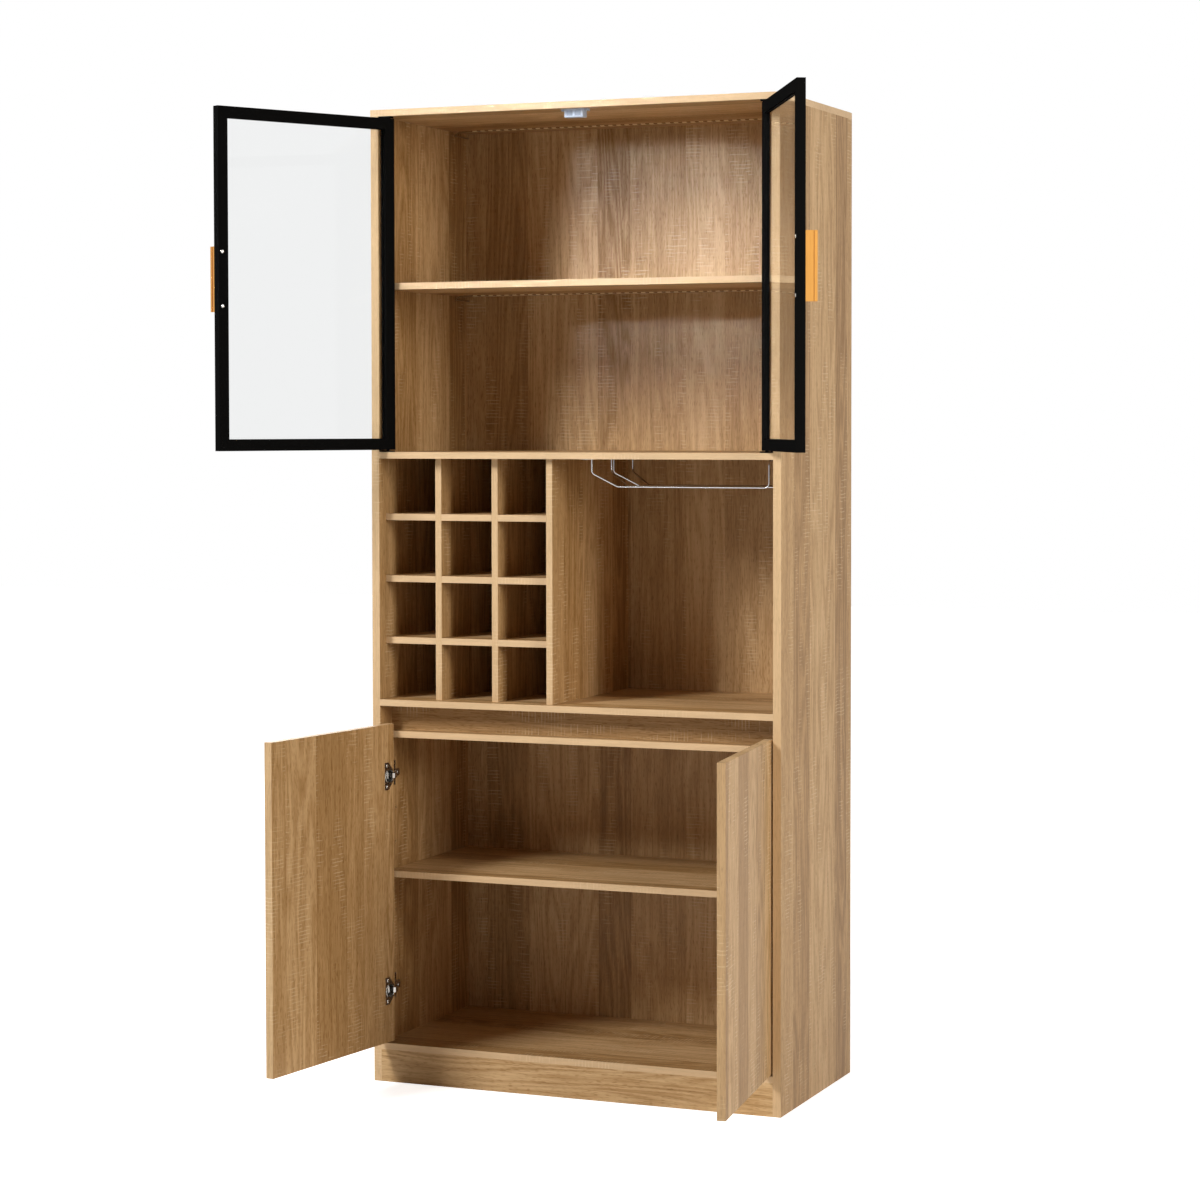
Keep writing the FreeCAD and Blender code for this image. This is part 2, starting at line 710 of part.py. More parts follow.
# Lower doors: slab with cup bores, cups with flanges, and hinge pins
WALL_TURN = FreeCAD.Rotation(V(1, 0, 0), 90)
SIDE_TURN = FreeCAD.Rotation(V(1, 1, 1), 120)
hinge_plates = []
hinge_arms = []
for side, hand in HANDS:
    slab = block(side + "_slab", "-pin_from_edge", "-pin_from_face", "slab_low",
                 "slab_wide", "slab_thick", "slab_high - slab_low", hand)
    flange_outline = outline(side + "_flange_outline", [
        ("%d * flange_back" % hand, "-flange_high / 2"),
        ("%d * flange_back" % hand, "flange_high / 2"),
        ("%d * (flange_back - (flange_far - flange_taper))" % hand, "flange_high / 2"),
        ("%d * flange_front" % hand, "flange_nose_high / 2"),
        ("%d * flange_front" % hand, "-flange_nose_high / 2"),
        ("%d * (flange_back - (flange_far - flange_taper))" % hand, "-flange_high / 2"),
    ])
    arm_in = "hook_reach - arm_thick / 2"
    arm_out = "hook_reach + arm_thick / 2"
    arm_corners = [("0", "-arm_thick / 2"), (arm_out, "-arm_thick / 2"), (arm_out, arm_out),
                   ("plate_face + arm_thick", arm_out), ("plate_face + arm_thick", "arm_end"),
                   ("plate_face", "arm_end"), ("plate_face", arm_in), (arm_in, arm_in),
                   (arm_in, "arm_thick / 2"), ("0", "arm_thick / 2")]
    arm_outline = outline(side + "_arm_outline",
                          [("%d * (%s)" % (hand, x), y) for x, y in arm_corners])
    wing_low = "plate_line - plate_wing_wide / 2"
    wing_high = "plate_line + plate_wing_wide / 2"
    plate_corners = [
        ("plate_line - plate_front", "plate_body_high / 2"), (wing_low, "plate_body_high / 2"),
        (wing_low, "plate_wing_high / 2"), (wing_high, "plate_wing_high / 2"),
        (wing_high, "plate_body_high / 2"), ("plate_line + plate_rear", "plate_body_high / 2"),
    ]
    lower_half = [(x, "-" + y) for x, y in reversed(plate_corners)]
    plate_outline = outline(side + "_plate_outline", plate_corners + lower_half)
    bores = []
    cups = []
    door_pins = []
    cup_x = "%d * cup_middle" % hand
    for level in HINGE_LEVELS:
        tag = "%s_%s" % (side, level)
        bores.append(rod(tag + "_bore", "y", cup_x, "cup_base", level, "cup_radius", "cup_deep"))
        shell = rod(tag + "_cup", "y", cup_x, "cup_base", level,
                    "cup_radius - cup_clear", "cup_deep")
        flange = extrude(tag + "_flange", flange_outline, "flange_thick", WALL_TURN)
        place(flange, "0", "slab_inner + flange_thick", level)
        hollow = rod(tag + "_hollow", "y", cup_x, "cup_base + cup_floor", level,
                     "cup_hollow", "cup_deep - cup_floor + flange_thick")
        notch = block(tag + "_notch", "-notch_near", "slab_inner - notch_deep",
                      "%s - notch_high / 2" % level, "notch_near + cup_middle",
                      "notch_deep + flange_thick", "notch_high", hand)
        pin = rod(tag + "_hinge_pin", "z", "0", "0", "%s - hinge_pin_long / 2" % level,
                  "hinge_pin_radius", "hinge_pin_long")
        door_pins.append(pin)
        cups.append(cut(tag + "_cup_cut", join(tag + "_cup_raw", [shell, flange]),
                        [hollow, notch, pin]))
        axis_x = "%d * slab_axis_x" % -hand
        strip = extrude(tag + "_arm_strip", arm_outline, "arm_high")
        place(strip, axis_x, "slab_axis_y", "%s - arm_high / 2" % level)
        eye = rod(tag + "_arm_eye", "z", axis_x, "slab_axis_y", "%s - arm_high / 2" % level,
                  "arm_eye_radius", "arm_high")
        way = rod(tag + "_arm_way", "z", axis_x, "slab_axis_y", "%s - arm_high / 2" % level,
                  "hinge_pin_radius + running_clear", "arm_high")
        hinge_arms.append(cut(tag + "_arm_cut", join(tag + "_arm_raw", [strip, eye]), [way]))
        plate = extrude(tag + "_plate_sheet", plate_outline, "plate_thick", SIDE_TURN)
        inner_x = "-inner_half" if hand > 0 else "inner_half - plate_thick"
        place(plate, inner_x, "0", level)
        hinge_plates.append(plate)
    swing(side + "_lower_door", cut(side + "_slab_bored", slab, bores), hand, "slab")
    swing(side + "_hinge_cups", group(side + "_cup_set", cups), hand, "slab")
    swing(side + "_hinge_pins", group(side + "_hinge_pin_set", door_pins), hand, "slab")

# Gooseneck arms: inside and outside of each bend are bevelled once the strips are known
doc.recompute()
inside = size("arm_bend")
outside = inside + size("arm_thick") * (2 - math.sqrt(2))
half = size("arm_thick") / 2
reach = size("hook_reach")
wall = size("plate_face")
BENDS = [(reach + half, -half, outside), (reach - half, half, inside),
         (reach + half, reach + half, outside), (reach - half, reach - half, inside),
         (wall + 2 * half, reach + half, inside), (wall, reach - half, outside)]


def bend_edges(shape):
    """The upright edges of an arm that lie at its bends, each with its bevel."""
    found = []
    for index, edge in enumerate(shape.Edges, 1):
        box = edge.BoundBox
        if box.XLength > 1e-6 or box.YLength > 1e-6:
            continue
        across = size("slab_axis_x") - abs(box.XMin)
        deep = box.YMin - size("slab_axis_y")
        for x, y, bevel in BENDS:
            if math.hypot(across - x, deep - y) < 1e-4:
                found.append((index, bevel, bevel))
    return found


bent_arms = []
for number, arm in enumerate(hinge_arms):
    bent = doc.addObject("Part::Chamfer", "hinge_arm_bent_%d" % number)
    bent.Base = arm
    bent.Edges = bend_edges(arm.Shape)
    bent_arms.append(bent)
node("hinge_arms", group("hinge_arm_set", bent_arms))
node("hinge_plates", group("hinge_plate_set", hinge_plates))

doc.recompute()
for thing in doc.Objects:
    if "Invalid" in thing.State or "Error" in thing.State:
        raise RuntimeError("failed feature: " + thing.Name)
os.makedirs("parts", exist_ok=True)
for thing in NODES:
    shape = thing.Shape
    if shape.isNull() or not shape.isValid() or not shape.Solids:
        raise RuntimeError("no valid solid: " + thing.Label)
for thing in NODES:
    thing.Shape.exportStep(os.path.join("parts", thing.Label + ".step"))
print("%d nodes, %d solids" % (len(NODES), sum(len(t.Shape.Solids) for t in NODES)))
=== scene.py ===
# %% [markdown]
# A tall oak-pattern cabinet with glazed doors, a bottle rack, a stemware bay and a cupboard.
# The measured solids come in first and stay where they are, as a fixed frame in metres. Everything
# that follows dresses them: finishes for the boards, and small pieces such as screws and light chips.

# %% Load the frame
import math
import bpy
import bmesh
from mathutils import Matrix, Vector


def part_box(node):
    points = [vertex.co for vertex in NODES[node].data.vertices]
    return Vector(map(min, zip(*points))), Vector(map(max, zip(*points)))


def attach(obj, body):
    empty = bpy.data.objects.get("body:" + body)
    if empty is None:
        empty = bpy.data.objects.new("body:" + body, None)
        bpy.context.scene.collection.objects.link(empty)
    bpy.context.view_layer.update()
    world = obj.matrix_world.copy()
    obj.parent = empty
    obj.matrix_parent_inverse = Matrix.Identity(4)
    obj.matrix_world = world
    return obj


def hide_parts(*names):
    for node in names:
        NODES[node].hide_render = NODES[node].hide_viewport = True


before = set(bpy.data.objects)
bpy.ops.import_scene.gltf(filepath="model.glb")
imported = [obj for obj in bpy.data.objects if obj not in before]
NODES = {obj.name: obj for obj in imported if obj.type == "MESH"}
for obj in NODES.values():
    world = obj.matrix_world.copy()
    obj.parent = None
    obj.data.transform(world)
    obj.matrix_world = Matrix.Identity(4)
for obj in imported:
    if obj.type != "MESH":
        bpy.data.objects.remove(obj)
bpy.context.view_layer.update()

# %% [markdown]
# The camera stands to the right of the cabinet at chest height and looks almost level, with a long
# lens, so the uprights stay nearly parallel. A level camera would put the cabinet too low in the
# picture. Tilting it alone would make the uprights lean, so part of the way is lens shift, as a
# furniture photographer would do, and the rest is a tilt of less than three degrees.

# %% Camera
CAMERA_PLACE = Vector((2.1097, -4.9390, 1.2247))
CAMERA_TURN = math.radians(22.569)
CAMERA_TILT = math.radians(87.767)
CAMERA_ROLL = math.radians(-0.088)
SENSOR_WIDTH, CAMERA_LENS, CAMERA_SHIFT = 36, 89.57, -0.05
camera = bpy.data.objects.new("camera", bpy.data.cameras.new("camera"))
camera.data.sensor_width = SENSOR_WIDTH
camera.data.lens = CAMERA_LENS
camera.data.shift_y = CAMERA_SHIFT
camera.matrix_world = (Matrix.Translation(CAMERA_PLACE) @ Matrix.Rotation(CAMERA_TURN, 4, "Z")
                       @ Matrix.Rotation(CAMERA_TILT, 4, "X") @ Matrix.Rotation(CAMERA_ROLL, 4, "Z"))
bpy.context.scene.collection.objects.link(camera)
bpy.context.scene.camera = camera
print("camera", round(CAMERA_PLACE.xy.length, 2), "m from the middle of the cabinet")

# %% [markdown]
# Colours are picked as sRGB hex values, the numbers a paint program shows, but shaders work in linear
# light. One function turns the first into the second. A second small function adds a node with its
# settings and its inputs, where an input is either a constant or another node's output.

# %% Colour and node helpers
def linear(hex_colour):
    """An sRGB hex value as the linear RGBA that a shader socket takes."""
    parts = [int(hex_colour[i:i + 2], 16) / 255 for i in (1, 3, 5)]
    return [c / 12.92 if c <= 0.04045 else ((c + 0.055) / 1.055) ** 2.4 for c in parts] + [1.0]


def add_node(tree, kind, settings=None, inputs=None):
    """Adds one node to a tree and fills its inputs with constants or links."""
    node = tree.nodes.new(kind)
    for name, value in (settings or {}).items():
        setattr(node, name, value)
    for key, value in (inputs or {}).items():
        if isinstance(value, bpy.types.NodeSocket):
            tree.links.new(value, node.inputs[key])
        else:
            node.inputs[key].default_value = value
    return node


def new_material(name):
    """An empty material: its tree, and the principled shader that ends it."""
    material = bpy.data.materials.new(name)
    material.use_nodes = True
    return material, material.node_tree, material.node_tree.nodes["Principled BSDF"]


print("mid grey in linear light:", round(linear("#808080")[0], 3))

# %% [markdown]
# The boards are particle board faced with melamine paper, printed as rough-sawn oak. The print shows
# planks a hand wide, each a little lighter or darker, with fine streaks along the grain, long loops
# where the saw met the year rings, and pale ticks across the grain that a band saw leaves. A picture
# would give this at once, but it repeats and stretches. Here it is drawn in millimetres from noise,
# so every board is different and the scale is right everywhere.
#
# The print has its own axes: across the planks, through the board, and along the grain. A Mapping node
# turns it, so one recipe serves the sides, the shelves, the rails and the open doors. The planks come
# first. A Voronoi pattern in one dimension gives irregular strips, each with a random colour, which
# serves as the plank's tone and as the shift of its grain against its neighbour's.

# %% Planks of the oak print
PLANK_WIDE = 78.0
PLANK_SHIFT = (160.0, 60.0, 2600.0)
BOARD_SHIFT = (1.0, 0.37, 1.9)


def lay_planks(tree, place, turn, shift):
    """The print's axes in mm, the same with each plank shifted, and the planks' random values."""
    board = add_node(tree, "ShaderNodeMapping", inputs={
        "Vector": place.outputs["Object"], "Rotation": turn, "Scale": (1000, 1000, 1000),
        "Location": [shift * part for part in BOARD_SHIFT]})
    axes = add_node(tree, "ShaderNodeSeparateXYZ", inputs={0: board.outputs[0]})
    strip = add_node(tree, "ShaderNodeMath", {"operation": "DIVIDE"},
                     {0: axes.outputs[0], 1: PLANK_WIDE})
    plank = add_node(tree, "ShaderNodeTexVoronoi", {"voronoi_dimensions": "1D"},
                     {"W": strip.outputs[0], "Scale": 1.0})
    offset = add_node(tree, "ShaderNodeVectorMath", {"operation": "MULTIPLY"},
                      {0: plank.outputs["Color"], 1: PLANK_SHIFT})
    laid = add_node(tree, "ShaderNodeVectorMath", {"operation": "ADD"},
                    {0: board.outputs[0], 1: offset.outputs[0]})
    dice = add_node(tree, "ShaderNodeSeparateColor", inputs={0: plank.outputs["Color"]})
    return axes, laid, dice


print("planks about", PLANK_WIDE, "mm wide")

# %% [markdown]
# The grain is a sum of noise fields, most of them stretched along the board. Year rings are contour
# lines of a broad field, strong on some planks and faint on others. Fibres, cloudy bands and pores are
# plain noise of other sizes. Together they give one tone, from dark to light. The last two fields are
# for the saw marks of the next step.

# %% Grain of the oak print
# each field: its size across, through and along the board in mm, then the noise's detail and roughness
OAK_FIELDS = {
    "ring": ((48, 48, 560), 1.5, 0.4),
    "streak": ((2.4, 2.4, 70), 3.0, 0.6),  # fibres, as fine as a picture of the whole can show
    "band": ((20, 20, 520), 2.0, 0.5),
    "pore": ((1.4, 1.4, 12), 0.0, 0.5),  # dark dashes, drawn this wide so that they show
    "patch": ((46, 46, 170), 1.0, 0.5),  # where the saw left its ticks
    "dash": ((24, 24, 7), 1.0, 0.5),  # breaks a tick into dashes
}
RING_LINES = 70.0
PORE_RANGE = (0.56, 0.74)
BASE_TONE, PLANK_TONE = 0.17, 0.36
BAND_TONE, RING_TONE, STREAK_TONE, PORE_TONE = 0.40, 0.19, 0.72, -0.22


def draw_grain(tree, laid, dice):
    """The noise fields of the print, and the tone that they add up to."""
    fields = {}
    for label, (size, detail, roughness) in OAK_FIELDS.items():
        scaled = add_node(tree, "ShaderNodeVectorMath", {"operation": "MULTIPLY"},
                          {0: laid.outputs[0], 1: [1 / part for part in size]})
        noise = add_node(tree, "ShaderNodeTexNoise", inputs={
            "Vector": scaled.outputs[0], "Scale": 1.0, "Detail": detail, "Roughness": roughness})
        fields[label] = noise.outputs[0]
    turns = add_node(tree, "ShaderNodeMath", {"operation": "MULTIPLY"},
                     {0: fields["ring"], 1: RING_LINES})
    wave = add_node(tree, "ShaderNodeMath", {"operation": "SINE"}, {0: turns.outputs[0]})
    rings = add_node(tree, "ShaderNodeMath", {"operation": "MULTIPLY"},
                     {0: wave.outputs[0], 1: dice.outputs[1]})
    pores = add_node(tree, "ShaderNodeMapRange", {"interpolation_type": "SMOOTHSTEP"},
                     {0: fields["pore"], 1: PORE_RANGE[0], 2: PORE_RANGE[1]})
    tone = add_node(tree, "ShaderNodeMath", {"operation": "MULTIPLY_ADD"},
                    {0: dice.outputs[0], 1: PLANK_TONE, 2: BASE_TONE})
    for part, weight in ((fields["band"], BAND_TONE), (rings.outputs[0], RING_TONE),
                         (fields["streak"], STREAK_TONE), (pores.outputs[0], PORE_TONE)):
        tone = add_node(tree, "ShaderNodeMath", {"operation": "MULTIPLY_ADD"},
                        {0: part, 1: weight, 2: tone.outputs[0]})
    return fields, tone


print("noise fields in the grain:", len(OAK_FIELDS))

# %% [markdown]
# A band saw leaves pale lines across the grain at an even pitch. A sine along the board draws them, bent
# a little by the cloudy bands. They show only in patches, and as broken dashes.

# %% Saw ticks of the oak print
SAW_PITCH, SAW_BEND = 6.5, 4.0
LINE_RANGE, DASH_RANGE, PATCH_RANGE = (0.35, 1.0), (0.42, 0.56), (0.50, 0.68)
TICK_STRENGTH = 0.5


def draw_ticks(tree, axes, fields):
    """How much of the tick colour shows, from nothing up to the ticks' strength."""
    along = add_node(tree, "ShaderNodeMath", {"operation": "MULTIPLY"},
                     {0: axes.outputs[2], 1: 2 * math.pi / SAW_PITCH})
    bent = add_node(tree, "ShaderNodeMath", {"operation": "MULTIPLY_ADD"},
                    {0: fields["band"], 1: SAW_BEND, 2: along.outputs[0]})
    saw = add_node(tree, "ShaderNodeMath", {"operation": "SINE"}, {0: bent.outputs[0]})
    shown = TICK_STRENGTH
    for field, (start, full) in ((saw.outputs[0], LINE_RANGE), (fields["dash"], DASH_RANGE),
                                 (fields["patch"], PATCH_RANGE)):
        mask = add_node(tree, "ShaderNodeMapRange", {"interpolation_type": "SMOOTHSTEP"},
                        {0: field, 1: start, 2: full})
        shown = add_node(tree, "ShaderNodeMath", {"operation": "MULTIPLY"},
                         {0: mask.outputs[0], 1: shown}).outputs[0]
    return shown


print("saw ticks every", SAW_PITCH, "mm")

# %% [markdown]
# The board gathers it all. The tone runs through three oak colours, the ticks go on top, and the edges
# are banded in a paler strip: partly the edge band's own tone, partly a painted highlight for the light
# that the edges catch, set per board. An edge is any face that looks along the board and not through
# it. The gloss follows the fibres, and the tone is also a shallow relief, because the paper is embossed.

# %% Oak-faced melamine board
OAK_DARK = "#8A6537"
OAK_MID = "#B59061"
OAK_LIGHT = "#D1AF82"
OAK_TICK = "#DDC7A4"
# the edges' paler tone: partly the edge band's own colour, partly painted highlight for lit edges
OAK_EDGE_AND_HIGHLIGHT = "#E6C8A0"
MID_RANGE, LIGHT_RANGE = (0.48, 0.92), (0.88, 1.24)
EDGE_LIMIT = 0.5
ROUGH_PORE, ROUGH_FIBRE = 0.56, 0.40
RELIEF, RELIEF_DEPTH = 0.25, 0.0003


def oak_board(name, across, grain, shift=0.0, sheen=0.25, edge_band_and_highlight=0.66):
    """Melamine oak: satin, streaked along the grain, with paler edges, partly banding and partly painted
    highlight.
    """
    material, tree, shader = new_material(name)
    across, grain = Vector(across), Vector(grain)
    through = grain.cross(across)
    turn = Matrix((across, through, grain)).to_euler()
    place = add_node(tree, "ShaderNodeTexCoord")
    axes, laid, dice = lay_planks(tree, place, turn, shift)
    fields, tone = draw_grain(tree, laid, dice)
    to_mid = add_node(tree, "ShaderNodeMapRange",
                      inputs={0: tone.outputs[0], 1: MID_RANGE[0], 2: MID_RANGE[1]})
    to_light = add_node(tree, "ShaderNodeMapRange",
                        inputs={0: tone.outputs[0], 1: LIGHT_RANGE[0], 2: LIGHT_RANGE[1]})
    ticks = draw_ticks(tree, axes, fields)
    facing = add_node(tree, "ShaderNodeVectorMath", {"operation": "DOT_PRODUCT"},
                      {0: place.outputs["Normal"], 1: through})
    flat = add_node(tree, "ShaderNodeMath", {"operation": "ABSOLUTE"}, {0: facing.outputs["Value"]})
    # painted highlight: edge faces are paled, partly as banding and partly standing in for the light on
    # them
    edge = add_node(tree, "ShaderNodeMath", {"operation": "LESS_THAN"},
                    {0: flat.outputs[0], 1: EDGE_LIMIT})
    band = add_node(tree, "ShaderNodeMath", {"operation": "MULTIPLY"},
                    {0: edge.outputs[0], 1: edge_band_and_highlight})
    # each layer covers the colour under it by its own share
    colour = linear(OAK_DARK)
    for share, layer in ((to_mid.outputs[0], OAK_MID), (to_light.outputs[0], OAK_LIGHT),
                         (ticks, OAK_TICK), (band.outputs[0], OAK_EDGE_AND_HIGHLIGHT)):
        colour = add_node(tree, "ShaderNodeMix", {"data_type": "RGBA"},
                          {0: share, 6: colour, 7: linear(layer)}).outputs[2]
    gloss = add_node(tree, "ShaderNodeMapRange",
                     inputs={0: fields["streak"], 3: ROUGH_PORE, 4: ROUGH_FIBRE})
    relief = add_node(tree, "ShaderNodeBump", inputs={
        "Strength": RELIEF, "Distance": RELIEF_DEPTH, "Height": tone.outputs[0]})
    shader.inputs["Specular IOR Level"].default_value = sheen
    tree.links.new(colour, shader.inputs["Base Color"])
    tree.links.new(gloss.outputs[0], shader.inputs["Roughness"])
    tree.links.new(relief.outputs[0], shader.inputs["Normal"])
    return material


HANDS = {"left": 1, "right": -1}
SLAB_OPEN = math.radians(97.5)
DOOR_SHIFT = {"left": 730, "right": 1160}
RIGHT, BACK, UP = (1, 0, 0), (0, 1, 0), (0, 0, 1)
# how strong the pale edges' painted highlight is, set per board: 0.5 on sides, 0.3 on doors, 0.66
# elsewhere
OAK = {
    "side": oak_board("melamine_oak_side", BACK, UP, edge_band_and_highlight=0.5),
    "back": oak_board("melamine_oak_back", RIGHT, UP, shift=410, sheen=0.35),
    "shelf": oak_board("melamine_oak_shelf", BACK, RIGHT, shift=95),
    "rail": oak_board("melamine_oak_rail", UP, RIGHT, shift=240),
}
for side, hand in HANDS.items():
    along_door = (hand * math.cos(SLAB_OPEN), -math.sin(SLAB_OPEN), 0)
    OAK[side + "_door"] = oak_board("melamine_oak_" + side + "_door", along_door, UP,
                                    shift=DOOR_SHIFT[side], edge_band_and_highlight=0.3)
print("oak finishes:", list(OAK))

# %% [markdown]
# The door frames are steel tube with a matt black powder coat. The powder melts into a skin like fine
# orange peel, too rough to mirror anything, even seen along its face. So the shader's shine is nil,
# and what shows is a near black that is mottled a little by the relief.

# %% Powder-coated steel and rubber
MOTTLE_SHADE = 0.82
MOTTLE_GLOSS = (0.8, 1.2)
MOTTLE_RELIEF = 0.4


def mottled(name, hex_colour, rough, grain_mm, depth_mm, metallic=0.0, stretch=(1, 1, 1), shine=0.5):
    """A finish of one colour whose gloss and relief vary in grains of a given size."""
    material, tree, shader = new_material(name)
    place = add_node(tree, "ShaderNodeTexCoord")
    grains = add_node(tree, "ShaderNodeMapping", inputs={
        "Vector": place.outputs["Object"],
        "Scale": [1000 / grain_mm * part for part in stretch]})
    noise = add_node(tree, "ShaderNodeTexNoise", inputs={
        "Vector": grains.outputs[0], "Scale": 1.0, "Detail": 2.0})
    deep = [c * MOTTLE_SHADE for c in linear(hex_colour)[:3]] + [1.0]
    colour = add_node(tree, "ShaderNodeMix", {"data_type": "RGBA"},
                      {0: noise.outputs[0], 6: deep, 7: linear(hex_colour)})
    smooth, dull = [min(1.0, rough * part) for part in MOTTLE_GLOSS]
    gloss = add_node(tree, "ShaderNodeMapRange", inputs={0: noise.outputs[0], 3: smooth, 4: dull})
    relief = add_node(tree, "ShaderNodeBump", inputs={
        "Strength": MOTTLE_RELIEF, "Distance": depth_mm / 1000, "Height": noise.outputs[0]})
    shader.inputs["Metallic"].default_value = metallic
    shader.inputs["Specular IOR Level"].default_value = shine
    tree.links.new(colour.outputs[2], shader.inputs["Base Color"])
    tree.links.new(gloss.outputs[0], shader.inputs["Roughness"])
    tree.links.new(relief.outputs[0], shader.inputs["Normal"])
    return material


# flat black, a little uneven
BLACK_STEEL = mottled("powder_coated_black_steel", "#121212", 0.6, 1.6, 0.03, shine=0.0)
# a dull black lip round each pane
RUBBER = mottled("black_glazing_rubber", "#0A0A0A", 0.7, 2.0, 0.02, shine=0.05)
print("frame finishes:", BLACK_STEEL.name, RUBBER.name)

# %% [markdown]
# The handles are extruded aluminium, brushed along their length and anodised in a warm bronze gold.
# Brushing is noise stretched along the handle: it is smooth one way and streaked the other way. The
# hinges are nickel-plated pressed steel; cups and plates take a darker copy of the nickel, painted
# shade, and the arms take the bright one. The wires are bright chrome, and the catch is white moulded
# plastic that looks faintly blue beside the warm oak. The light tapes are tan film with pale chips, and
# the loose tenons in the joints are bare beech.

# %% Metals and plastics
# each finish: name, colour, roughness, grain and relief in mm, how metallic, stretch of the grain
# warm satin gold, with streaks along the handle
BRONZE = mottled("anodised_bronze_aluminium", "#DA9D50", 0.36, 0.9, 0.01, 1.0, (1, 1, 0.03))
# painted shade: a darker grey copy of the nickel for the cups and plates, with broad, soft reflections
SHADED_NICKEL = mottled("nickel_plated_pressed_steel", "#A19D98", 0.28, 3.0, 0.02, 1.0)
# the same, brighter and a little sharper
NICKEL = mottled("bright_nickel_plated_steel", "#C9C7C3", 0.24, 3.0, 0.01, 1.0)
# thin bright lines along each wire
CHROME = mottled("chrome_plated_wire", "#C4C6C9", 0.14, 6.0, 0.005, 1.0)
# dull grey faces in the catch
MAGNET = mottled("zinc_plated_magnet_steel", "#9AA2AF", 0.75, 1.5, 0.01, 1.0)
# pale, with a soft moulded sheen
WHITE_PLASTIC = mottled("white_moulded_polystyrene", "#BFCADD", 0.45, 2.5, 0.01, shine=0.2)
# satin tan, nearly lost against the wood
TAPE = mottled("light_tape_film", "#8C6B44", 0.45, 4.0, 0.01)
# pale yellow, so that the chips show as a row of dashes
CHIP = mottled("light_chip_phosphor", "#FBEBC4", 0.5, 1.2, 0.01)
# soft tan skin on the two leads
SHEATH = mottled("lead_sheath_vinyl", "#94764E", 0.5, 2.0, 0.01)
# dull pale wood with a short grain
BEECH = mottled("beech_tenon_wood", "#C79F73", 0.6, 1.5, 0.05, 0.0, (1, 1, 0.2))
print("metals and plastics, from", BRONZE.name, "to", SHEATH.name, "and", BEECH.name)

# %% [markdown]
# The panes are clear float glass, 4 mm thick. Float glass holds a trace of iron, so white seen
# through it turns very slightly grey. Faint wiping marks change the gloss by a hair. The panes
# mirror little, so the IOR is set below the usual 1.5 of glass, which keeps them quiet face on.

# %% Clear float glass
GLASS_TINT = linear("#F0F1F1")
GLASS_IOR = 1.2
WIPE_SCALE = 14.0  # to the metre, so that a wiping mark is about 70 mm wide
WIPE_ROUGH = 0.03
GLASS, glass_tree, glass_shader = new_material("clear_float_glass")
glass_place = add_node(glass_tree, "ShaderNodeTexCoord")
wipes = add_node(glass_tree, "ShaderNodeTexNoise", inputs={
    "Vector": glass_place.outputs["Object"], "Scale": WIPE_SCALE, "Detail": 2.0})
wipe_gloss = add_node(glass_tree, "ShaderNodeMapRange",
                      inputs={0: wipes.outputs[0], 3: 0.0, 4: WIPE_ROUGH})
glass_tree.links.new(wipe_gloss.outputs[0], glass_shader.inputs["Roughness"])
for socket, value in (("Base Color", GLASS_TINT), ("Transmission Weight", 1.0), ("IOR", GLASS_IOR),
                      ("Specular IOR Level", 0.1)):
    glass_shader.inputs[socket].default_value = value
# light from the lamps passes straight through a flat pane, so it casts no dark shadow
lamp_ray = add_node(glass_tree, "ShaderNodeLightPath")
passed = add_node(glass_tree, "ShaderNodeBsdfTransparent", inputs={0: GLASS_TINT})
pane_mix = add_node(glass_tree, "ShaderNodeMixShader", inputs={
    0: lamp_ray.outputs["Is Shadow Ray"], 1: glass_shader.outputs[0], 2: passed.outputs[0]})
glass_tree.links.new(pane_mix.outputs[0], glass_tree.nodes["Material Output"].inputs["Surface"])
print("glass nodes:", len(glass_tree.nodes))

# %% [markdown]
# Each solid now gets its finish. The boards differ only in how the grain runs: upright on sides,
# backs, doors and rack dividers, and level on shelves, rails and the plinth.

# %% Finishes on the solids
OAK_PIECES = {
    "side": "left_side_panel right_side_panel rack_divider_1 rack_divider_2 rack_partition",
    "back": "lower_back_panel upper_back_panel",
    "shelf": "top_panel middle_panel bar_panel bottom_panel upper_shelf lower_shelf stop_rail "
             "rack_shelf_1 rack_shelf_2 rack_shelf_3",
    "rail": "finger_rail front_plinth rear_plinth",
    "left_door": "left_lower_door",
    "right_door": "right_lower_door",
}
OTHER_PIECES = [
    (BLACK_STEEL, "left_glass_frame right_glass_frame pivot_plates"),
    (RUBBER, "left_glass_gasket right_glass_gasket"),
    (GLASS, "left_glass_pane right_glass_pane"),
    (BRONZE, "left_handle right_handle"),
    # the hinge cups and plates take the darker nickel, painted shade
    (SHADED_NICKEL, "left_hinge_cups right_hinge_cups hinge_plates"),
    (NICKEL, "left_hinge_pins right_hinge_pins hinge_arms shelf_pins stemware_tabs"),
    (CHROME, "stemware_loop_front stemware_loop_rear"),
    (MAGNET, "catch_magnets"),
    (WHITE_PLASTIC, "catch_body"),
    (TAPE, "led_strip_upper led_strip_lower"),
    (SHEATH, "led_leads"),
    (BEECH, "tenons"),
]
finishes = [(OAK[kind], names) for kind, names in OAK_PIECES.items()] + OTHER_PIECES
dressed = set()
for material, names in finishes:
    for name in names.split():
        NODES[name].data.materials.clear()
        NODES[name].data.materials.append(material)
        dressed.add(name)
print("dressed", len(dressed), "of", len(NODES), "solids; left:", sorted(set(NODES) - dressed))

# %% [markdown]
# Stemware hangs by its foot between two chrome wires. Each loop is one bent wire: down from a tab,
# out on a slant, along the rail, up and over at the end, and back the same way. A drawn tube could be
# modelled by hand, but the shape follows a rule, so a node tree does it: a line of corners becomes a
# curve, the corners are rounded, and a circle is swept along it.

# %% A node tree that bends wire
def freeze(piece):
    """Turns what a piece's node tree makes into its plain mesh."""
    graph = bpy.context.evaluated_depsgraph_get()
    made = bpy.data.meshes.new_from_object(piece.evaluated_get(graph), depsgraph=graph)
    piece.modifiers.clear()
    piece.data = made
    piece.data.name = piece.name
    return piece


